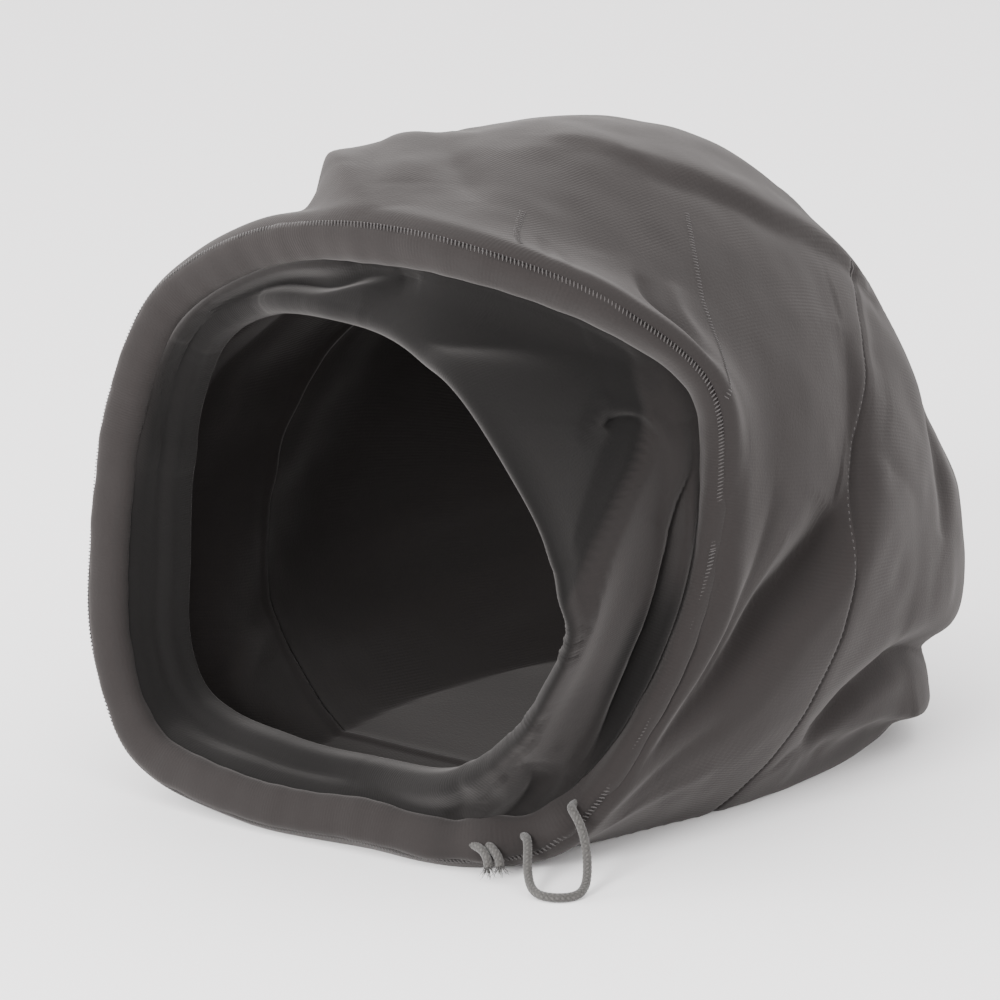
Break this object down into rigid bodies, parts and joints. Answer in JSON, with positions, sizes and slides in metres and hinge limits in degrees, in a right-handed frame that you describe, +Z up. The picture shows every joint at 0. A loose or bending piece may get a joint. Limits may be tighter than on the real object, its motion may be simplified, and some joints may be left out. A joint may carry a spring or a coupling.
{
  "type": "motorcycle helmet bag",
  "caption": "soft brushed knit cloth sack for a full-face helmet, standing filled out with its round mouth open, a drawstring cord run through its hem",
  "frame": {"origin": "centre of the bag's box on the floor", "axes": "+Z up, the mouth faces -Y and leans back towards +X, the closed end of the sack is at +Y, X runs across"},
  "size_m": [0.279, 0.3462, 0.274],
  "materials": {
    "cloth": "brushed knit, dark charcoal",
    "hem": "brushed knit, folded double",
    "facing": "soft knit, inside face",
    "cord": "braided, grey with dark flecks"
  },
  "bodies": {
    "root": {"front_panel": "cloth", "rear_panel": "cloth", "drawstring_hem": "hem", "mouth_facing": "facing", "drawstring_run": "cord", "first_cord_end": "cord", "second_cord_end": "cord", "drawstring_loop": "cord"}
  },
  "joints": []
}
